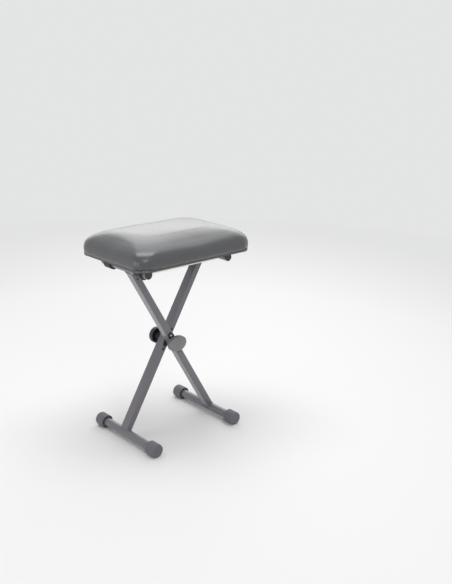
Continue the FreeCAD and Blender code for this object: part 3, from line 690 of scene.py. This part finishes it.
def make_hem():
    shape = bmesh.new()
    bmesh.ops.create_grid(shape, x_segments=1, y_segments=1, size=1.0)
    half = seat_half - Vector((HEM_EDGE, HEM_EDGE))
    bmesh.ops.scale(shape, verts=shape.verts, vec=(half.x, half.y, 1))
    bmesh.ops.bevel(shape, geom=shape.verts[:], offset=CORNER - HEM_EDGE, segments=24,
                    profile=0.5, affect="VERTICES", material=-1)
    middle = shape.faces[:]
    bmesh.ops.inset_region(shape, faces=middle, thickness=HEM_WIDTH, use_boundary=True,
                           use_even_offset=True)
    bmesh.ops.delete(shape, geom=middle, context="FACES")
    cross = [edge for edge in shape.edges if not edge.is_boundary]
    bmesh.ops.subdivide_edges(shape, edges=cross, cuts=5, use_grid_fill=True)
    for vertex in shape.verts:
        over_x = abs(vertex.co.x) - (half.x - CORNER)
        over_y = abs(vertex.co.y) - (half.y - CORNER)
        drop = HEM_RIPPLE * noise.noise(Vector(vertex.co) / RIPPLE_SIZE)
        if over_x > 0 and over_y > 0:
            fan = math.atan2(over_y, over_x)
            drop += PLEAT_HEIGHT * (1 + math.cos(fan * PLEATS_IN_TURN))
        vertex.co.z = board_bottom - HEM_GAP - abs(drop)
    rim = [edge for edge in shape.edges if edge.is_boundary and rim_share(edge, half) > 0.5]
    lip = bmesh.ops.extrude_edge_only(shape, edges=rim)["geom"]
    raised = [part for part in lip if isinstance(part, bmesh.types.BMVert)]
    bmesh.ops.translate(shape, verts=raised, vec=(0, 0, HEM_LIP))
    return shape


hem = make_piece("seat_hem", make_hem(), seat_vinyl, "seat")
thicken(hem, HEM_THICKNESS)

# %% [markdown]
# A black dust cover closes the underside. It is cloth pulled tight over the board, so it is
# almost flat: it steps down where it lies on the hem, and has faint tension wrinkles. Holes are
# not needed, because the straps and the rails' plates are screwed down through it.

# %% The dust cover
COVER_EDGE = 17.5 * MM
COVER_THICKNESS = 0.3 * MM
COVER_DROP = 0.45 * MM
HEM_STEP = 1.35 * MM
STEP_START = 14 * MM
STEP_WIDTH = 7 * MM
WRINKLE = 0.10 * MM
WRINKLES_PER_METRE = 45

cover_half = seat_half - Vector((COVER_EDGE, COVER_EDGE))
shape = bmesh.new()
bmesh.ops.create_grid(shape, x_segments=120, y_segments=92, size=1.0)
bmesh.ops.scale(shape, verts=shape.verts, vec=(cover_half.x, cover_half.y, 1))
for vertex in shape.verts:
    inset = min(cover_half.x - abs(vertex.co.x), cover_half.y - abs(vertex.co.y))
    on_hem = max(0.0, min(1.0, (STEP_START - inset) / STEP_WIDTH))
    ease = on_hem * on_hem * (3 - 2 * on_hem)
    across, along = vertex.co.xy * WRINKLES_PER_METRE
    wrinkle = WRINKLE * noise.noise(Vector((across, along, 0.3)))
    vertex.co.z = board_bottom - COVER_DROP - ease * HEM_STEP - abs(wrinkle)
cover = make_piece("dust_cover", shape, dust_cloth, "seat")
thicken(cover, COVER_THICKNESS)

# %% [markdown]
# Staples hold the cover: one about every 32 mm, each set down by hand and so never quite straight.
# A staple is a small bar with its edges bevelled. It is drawn once for each place, in one bmesh.

# %% Staples
STAPLE_LENGTH = 10 * MM
STAPLE_WIRE = (1.1 * MM, 0.6 * MM)
STAPLE_EDGE = 0.18 * MM
STAPLE_INSET = 3.0 * MM
STAPLE_DROP = 2.15 * MM
CORNER_ROOM = 14 * MM


def staple_places():
    inset = COVER_EDGE + STAPLE_INSET
    half = seat_half - Vector((inset, inset))
    for length, across, turned in ((half.x, half.y, False), (half.y, half.x, True)):
        count = round(2 * (length - CORNER_ROOM) / STAPLE_STEP)
        for k in range(count + 1):
            along = (k / count * 2 - 1) * (length - CORNER_ROOM)
            for side in (-1, 1):
                yield (side * across, along, turned) if turned else (along, side * across, turned)


shape = bmesh.new()
chance = random.Random(5)
for x, y, turned in staple_places():
    turn = Quaternion((0, 0, 1), math.radians(90 * turned + chance.uniform(-9, 9)))
    place = (x, y, board_bottom - STAPLE_DROP)
    add_box(shape, place, (STAPLE_LENGTH, *STAPLE_WIRE), turn)
bmesh.ops.bevel(shape, geom=shape.edges[:], offset=STAPLE_EDGE, segments=1, profile=0.5,
                affect="EDGES", material=-1)
make_piece("staples", shape, plated_steel, "seat")

# %% [markdown]
# ## Welds
#
# The legs are welded to the feet and to the crossbars. A weld bead is a row of overlapping
# ripples along the joint. We walk round the joint in even steps, and make a curve through the
# points, whose thickness goes up and down with each ripple.

# %% Walk round a joint
BEAD = 1.9 * MM
RIPPLE = 1.7 * MM
CREST = 1.08
DIP = 0.80


def even_steps(corners, step):
    """Points at even steps along a closed run of corners."""
    points = []
    for first, second in zip(corners, corners[1:] + corners[:1]):
        span = second - first
        count = max(1, round(span.length / step))
        points += [first + span * (k / count) for k in range(count)]
    return points


def make_bead(name, points, radius, body):
    """A closed weld bead through points."""
    chance = random.Random(len(points))
    curve = bpy.data.curves.new(name, "CURVE")
    curve.dimensions = "3D"
    curve.bevel_depth = radius
    curve.bevel_resolution = 2
    spline = curve.splines.new("POLY")
    spline.points.add(len(points) - 1)
    spline.use_cyclic_u = True
    for k, point in enumerate(points):
        spline.points[k].co = (*point, 1.0)
        spline.points[k].radius = (CREST if k % 2 else DIP) * chance.uniform(0.95, 1.05)
    drawn = bpy.data.objects.new(name + "_line", curve)
    bpy.context.scene.collection.objects.link(drawn)
    mesh = settled(drawn)
    bpy.data.objects.remove(drawn)
    for polygon in mesh.polygons:
        polygon.use_smooth = True
    bead = make_object(name, mesh, frame_paint)
    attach(bead, body)
    print(f"{name}: {len(points) // 2} ripples")


# %% [markdown]
# Where a flat-sided leg meets a round tube, the joint is not flat: it climbs over the tube. The
# leg's outline is drawn flat, with `u` across the tube and `v` along it, and each point's climb
# then follows from the circle of the tube.

# %% Weld the legs
LEG_HALF = (9.0 * MM, 12.5 * MM)
LEG_ROUND = 2.6 * MM


def leg_joint(tube_axis, tube_radius, leg_way, leg_y):
    """The line where a leg meets a round tube that runs along Y."""
    across = Vector((leg_way.z, 0, -leg_way.x))
    half_u, half_v = LEG_HALF
    outline = []
    for sign_u, sign_v in ((1, 1), (-1, 1), (-1, -1), (1, -1)):
        near = (sign_u * half_u, sign_v * (half_v - LEG_ROUND))
        far = (sign_u * (half_u - LEG_ROUND), sign_v * half_v)
        outline += [near, far] if sign_u * sign_v > 0 else [far, near]
    flat = even_steps([Vector(point) for point in outline], RIPPLE / 2)
    axis = Vector((tube_axis.x, leg_y, tube_axis.z))
    return [axis + across * u + Vector((0, v, 0)) + leg_way * math.sqrt(tube_radius ** 2 - u * u)
            for u, v in flat]


def middle_of(name):
    low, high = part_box(name)
    return (low + high) / 2


for side, body in (("a", "front_leg_frame"), ("b", "rear_leg_frame")):
    leg_y = middle_of(f"leg_tube_{side}").y
    foot, bar = middle_of(f"foot_tube_{side}"), middle_of(f"crossbar_{side}")
    way = (bar - foot).normalized()
    joints = (("foot", "foot_tube", foot, way), ("crossbar", "crossbar", bar, -way))
    for label, tube, end, climb in joints:
        low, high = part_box(f"{tube}_{side}")
        radius = (high.z - low.z) / 2
        make_bead(f"weld_{label}_{side}", leg_joint(end, radius, climb, leg_y), BEAD, body)

# %% [markdown]
# ## Screws and bolts
#
# The bolts of the straps have hexagonal heads. Such a head is a circle of six points, extruded,
# and its outer rim is bevelled, as the factory chamfers it. The shank is a turned shape that goes
# up through the washer, and the places of the bolts follow from the box of the CAD bolts.

# %% Hexagonal heads
BOLT_FLATS = 10.0 * MM
BOLT_RADIUS = 3.0 * MM
BOLT_CHAMFER = 0.8 * MM


def add_hex_head(shape, centre, across_flats, height):
    """A bolt head with a chamfered crown, which hangs down from its centre."""
    corner = across_flats / math.sqrt(3)
    ring = bmesh.ops.create_circle(shape, cap_ends=True, segments=6, radius=corner)
    face = ring["verts"][0].link_faces[0]
    made = bmesh.ops.extrude_face_region(shape, geom=[face])["geom"]
    crown = [part for part in made if isinstance(part, bmesh.types.BMVert)]
    bmesh.ops.translate(shape, verts=crown, vec=(0, 0, -height))
    rim = [edge for edge in shape.edges if all(vertex in crown for vertex in edge.verts)]
    new = bmesh.ops.bevel(shape, geom=rim, offset=BOLT_CHAMFER, segments=3, profile=0.7,
                          affect="EDGES", material=-1)["verts"]
    head = set(ring["verts"]) | set(crown) | set(new)
    bmesh.ops.translate(shape, verts=[vertex for vertex in head if vertex.is_valid], vec=centre)


under_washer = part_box("saddle_washers")[0].z
bolt_low, bolt_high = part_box("saddle_bolts")
bolt_corner = BOLT_FLATS / math.sqrt(3)
bolt_reach = bolt_high.z - under_washer
shank = [(0, 0), (BOLT_RADIUS, 0), (BOLT_RADIUS, bolt_reach), (0, bolt_reach)]
shape = bmesh.new()
for x in (bolt_low.x + bolt_corner, bolt_high.x - bolt_corner):
    for y in (bolt_low.y + BOLT_FLATS / 2, bolt_high.y - BOLT_FLATS / 2):
        place = (x, y, under_washer)
        add_hex_head(shape, place, BOLT_FLATS, under_washer - bolt_low.z)
        add_turned(shape, shank, place, (0, 0, 1), 20)
make_piece("strap_bolts", shape, plated_steel, "seat", ["saddle_bolts"])

# %% [markdown]
# The screws have round heads with a cross recess. The head is half an outline that is spun, from
# its rim to its crown. Two thin bars that cross cut the recess with a Boolean modifier, which is
# applied at once.

# %% Cross-head screws
BAR_SHARE = 0.28
RECESS_SPAN = 1.25
RECESS_DEPTH = 0.55


def screw_head_outline(radius, height):
    """Half the outline of a pan head, from its rim to the top of its crown."""
    arc = [(radius * math.cos(a), height * math.sin(a) ** 0.8) for a in (0.25, 0.6, 0.95, 1.25)]
    return [(0, 0), (radius, 0), *arc, (0, height)]


def cut_cross(thing, places, way, size, depth):
    """Cut a cross recess at each place, into the head's top."""
    cutter_shape = bmesh.new()
    turn = Vector((0, 0, 1)).rotation_difference(Vector(way))
    thin = size * BAR_SHARE
    for place in places:
        for bar in ((size, thin, 2 * depth), (thin, size, 2 * depth)):
            add_box(cutter_shape, place, bar, turn)
    mesh = bpy.data.meshes.new("cross")
    cutter_shape.to_mesh(mesh)
    cutter_shape.free()
    cutter = bpy.data.objects.new("cross", mesh)
    bpy.context.scene.collection.objects.link(cutter)
    recess = thing.modifiers.new("recess", "BOOLEAN")
    recess.operation = "DIFFERENCE"
    recess.solver = "EXACT"
    recess.use_self = True
    recess.object = cutter
    thing.data = settled(thing)
    thing.modifiers.clear()
    bpy.data.objects.remove(cutter)


def make_screws(name, places, way, head, shank, body, replaced=()):
    """Screws of plated steel, whose heads and shanks are each a radius and a length."""
    radius, height = head
    thin, reach = shank
    back = -Vector(way)
    shape = bmesh.new()
    for place in places:
        add_turned(shape, screw_head_outline(radius, height), place, way, 28)
        add_turned(shape, [(0, 0), (thin, 0), (thin, reach), (0, reach)], place, back, 16)
    screws = make_piece(name, shape, plated_steel, body, replaced)
    tops = [Vector(place) + Vector(way) * height for place in places]
    cut_cross(screws, tops, way, radius * RECESS_SPAN, height * RECESS_DEPTH)


# %% [markdown]
# Four of these screws hold the rails' plates under the seat. Their heads lie against the plates,
# and their places follow from the box of the CAD screws.

# %% Screws of the rails
RAIL_PLATE = 2.5 * MM
HEAD_RADIUS = 4.5 * MM
SHANK_RADIUS = 2.25 * MM

screw_low, screw_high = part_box("rail_screws")
under_plate = board_bottom - RAIL_PLATE
rail_places = [(x, y, under_plate)
               for x in (screw_high.x - HEAD_RADIUS, screw_low.x + HEAD_RADIUS)
               for y in (screw_high.y - HEAD_RADIUS, screw_low.y + HEAD_RADIUS)]
rail_head = (HEAD_RADIUS, under_plate - screw_low.z)
rail_shank = (SHANK_RADIUS, screw_high.z - under_plate)
make_screws("rail_screw_heads", rail_places, (0, 0, -1), rail_head, rail_shank, "seat", ["rail_screws"])

# %% [markdown]
# Two small screws hold the plate behind the clamp knob. The plate lies along leg A, so the
# middles of its round ends follow from its box.

# %% Screws on the pivot plate
ROUND_END = 8.25 * MM
PLATE_HEAD = (3.2 * MM, 1.5 * MM)
PLATE_SHANK = (1.6 * MM, 3.0 * MM)

plate_low, plate_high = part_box("pivot_plate")
plate_middle = middle_of("pivot_plate")
end_x = (plate_high.x - plate_low.x) / 2 - ROUND_END
end_z = (plate_high.z - plate_low.z) / 2 - ROUND_END
plate_places = [(plate_middle.x - side * end_x, plate_low.y, plate_middle.z + side * end_z)
                for side in (-1, 1)]
make_screws("plate_screws", plate_places, (0, -1, 0), PLATE_HEAD, PLATE_SHANK, "front_leg_frame")

# %% [markdown]
# ## The rear knob
#
# The rear knob is moulded as a thin shell over the head of the pivot bolt. Such a shell has webs
# inside, from the hub to the rim, which stop it from folding when it is gripped. They show in the
# dark hollow from the front.

# %% Webs in the rear knob
WEBS = 8
WEB_THICKNESS = 1.6 * MM
WEB_DEPTH = 8.4 * MM
WEB_BITE = 0.5 * MM
KNOB_DEPTH = 14 * MM
KNOB_WALL = 3.0 * MM
HUB_RADIUS = 10.5 * MM

knob_low, knob_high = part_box("rear_knob")
reach = (knob_high.z - knob_low.z) / 2 - KNOB_WALL - HUB_RADIUS
hollow = Vector((0, knob_high.y - KNOB_DEPTH + KNOB_WALL, (knob_low.z + knob_high.z) / 2))
shape = bmesh.new()
for k in range(WEBS):
    turn = Quaternion((0, 1, 0), math.tau * (k + 0.5) / WEBS)
    arm = turn @ Vector((HUB_RADIUS + reach / 2, WEB_DEPTH / 2, 0))
    add_box(shape, hollow + arm, (reach + 2 * WEB_BITE, WEB_DEPTH, WEB_THICKNESS), turn)
make_piece("rear_knob_webs", shape, rear_knob_plastic, "rear_leg_frame")

# %% [markdown]
# ## Studio and camera
#
# The light is that of a plain product studio: broad lamps above, at the right and behind, which
# the vinyl mirrors as a silvery sheen, a weak one low at the left, and a key lamp in front. An
# area lamp is aimed by turning its -Z axis towards its target.

# %% Lamps
def add_lamp(name, place, target, size, watts):
    light = bpy.data.lights.new(name, "AREA")
    light.shape = "RECTANGLE"
    light.size, light.size_y = size
    light.energy = watts
    lamp = bpy.data.objects.new(name, light)
    bpy.context.scene.collection.objects.link(lamp)
    lamp.location = place
    lamp.rotation_euler = (Vector(target) - Vector(place)).to_track_quat("-Z", "Y").to_euler()
    lamp.visible_camera = False
    print(f"{name}: {watts} W")


MIDDLE = (0, 0, 0.3)
add_lamp("right_lamp", (1.35, 0.95, 1.90), MIDDLE, (2.4, 2.2), 15)
add_lamp("back_lamp", (1.30, 2.05, 1.15), MIDDLE, (2.4, 0.9), 4.5)
add_lamp("top_lamp", (0.05, 0.05, 2.40), MIDDLE, (2.2, 0.8), 26)
add_lamp("left_lamp", (-2.10, 0.30, 0.35), MIDDLE, (1.5, 0.8), 6)
add_lamp("key_lamp", (-1.00, -2.00, 1.70), MIDDLE, (1.6, 1.2), 13)

# %% [markdown]
# The rest of the light is an even glow from the world all round. The Light Path node tells what
# kind of ray asks, so the world can be pale to the camera, in reflections and through glass, and
# dimmer as a source of light.

# %% The world
PALE = 0.775
GLOW = 0.42


class Surroundings(Finish):
    """The world round the bench, made of nodes as a finish is."""

    def __init__(self, world):
        world.use_nodes = True
        self.tree = world.node_tree
        self.tree.nodes.clear()
        self.output = self.tree.nodes.new("ShaderNodeOutputWorld")


world = bpy.data.worlds.new("studio")
bpy.context.scene.world = world
studio = Surroundings(world)
camera_ray, mirror_ray, glass_ray = (
    studio.node("LightPath", {}, {}, f"Is {kind} Ray") for kind in ("Camera", "Glossy", "Transmission"))
seen = (camera_ray + mirror_ray + glass_ray).above(0.0, softness=1.0)
glow = studio.node("Background", {}, {"Color": shade(1.0, 1.0, 1.0), "Strength": GLOW})
backdrop = studio.node("Background", {}, {"Color": shade(PALE, PALE * 1.005, PALE * 1.01)})
studio.show(studio.node("MixShader", {}, {0: seen, 1: glow, 2: backdrop}))
print("The world has", len(world.node_tree.nodes), "nodes.")

# %% [markdown]
# The floor is a pale matt disc. Far from the bench it turns clear, and its edge is never seen, so
# no horizon shows.

# %% The floor
FLOOR_RADIUS = 3.0
FADE_START = 1.2
FADE_WIDTH = 1.4

floor_finish = Finish("floor")
distance = floor_finish.node("VectorMath", {"operation": "LENGTH"}, {0: floor_finish.place}, "Value")
matt = floor_finish.node("BsdfDiffuse", {}, {"Color": shade(0.90, 0.90, 0.90)})
clear = floor_finish.node("BsdfTransparent", {}, {})
far = distance.above(FADE_START, FADE_WIDTH)
floor_finish.show(floor_finish.node("MixShader", {}, {0: far, 1: matt, 2: clear}))

shape = bmesh.new()
bmesh.ops.create_circle(shape, cap_ends=True, segments=96, radius=FLOOR_RADIUS)
mesh = bpy.data.meshes.new("floor")
shape.to_mesh(mesh)
shape.free()
floor = make_object("floor", mesh, floor_finish.material)
floor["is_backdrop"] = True
print("The floor fades out from", FADE_START, "to", FADE_START + FADE_WIDTH, "metres.")

# %% [markdown]
# The camera stands where the photographer's stood, a little above the seat and to its left. The
# bench is not in the middle of the photograph, so the camera first looks at the bench and is then
# turned until the bench lies at its place in the picture.

# %% Camera
AZIMUTH = math.radians(-39.13)
ELEVATION = math.radians(21.05)
ROLL = math.radians(0.49)
DISTANCE = 1.9765
BENCH_MIDDLE = Vector((0, 0, 0.24))
PICTURE = (452, 584)
BENCH_PIXEL = (167.83, 338.37)
FOCAL_PIXELS = 776.94
SENSOR = 36.0

data = bpy.data.cameras.new("camera")
data.sensor_width = SENSOR
data.sensor_fit = "AUTO"
data.lens = FOCAL_PIXELS / max(PICTURE) * SENSOR
camera = bpy.data.objects.new("camera", data)
bpy.context.scene.collection.objects.link(camera)
bpy.context.scene.camera = camera
back = Vector((math.sin(AZIMUTH) * math.cos(ELEVATION), -math.cos(AZIMUTH) * math.cos(ELEVATION),
               math.sin(ELEVATION)))
camera.location = BENCH_MIDDLE + back * DISTANCE
towards = (-back).to_track_quat("-Z", "Y") @ Quaternion((0, 0, 1), -ROLL)
aside = Vector((BENCH_PIXEL[0] - PICTURE[0] / 2, PICTURE[1] / 2 - BENCH_PIXEL[1], -FOCAL_PIXELS))
turn = Vector((0, 0, -1)).rotation_difference(aside)
camera.rotation_euler = (towards @ turn.inverted()).to_euler()
bpy.context.scene.view_settings.view_transform = "Standard"
print("The camera's lens is", round(data.lens, 1), "mm.")

# %% [markdown]
# ## Last look at the sizes
#
# Cloth may stand a little proud of the CAD box, but not much. The box round everything shown is
# measured here and its size printed.

# %% Measure the sizes
visual_box = [list(corner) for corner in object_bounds()]
size = [round(high - low, 4) for low, high in zip(*visual_box)]
print("The finished bench measures", size, "metres.")
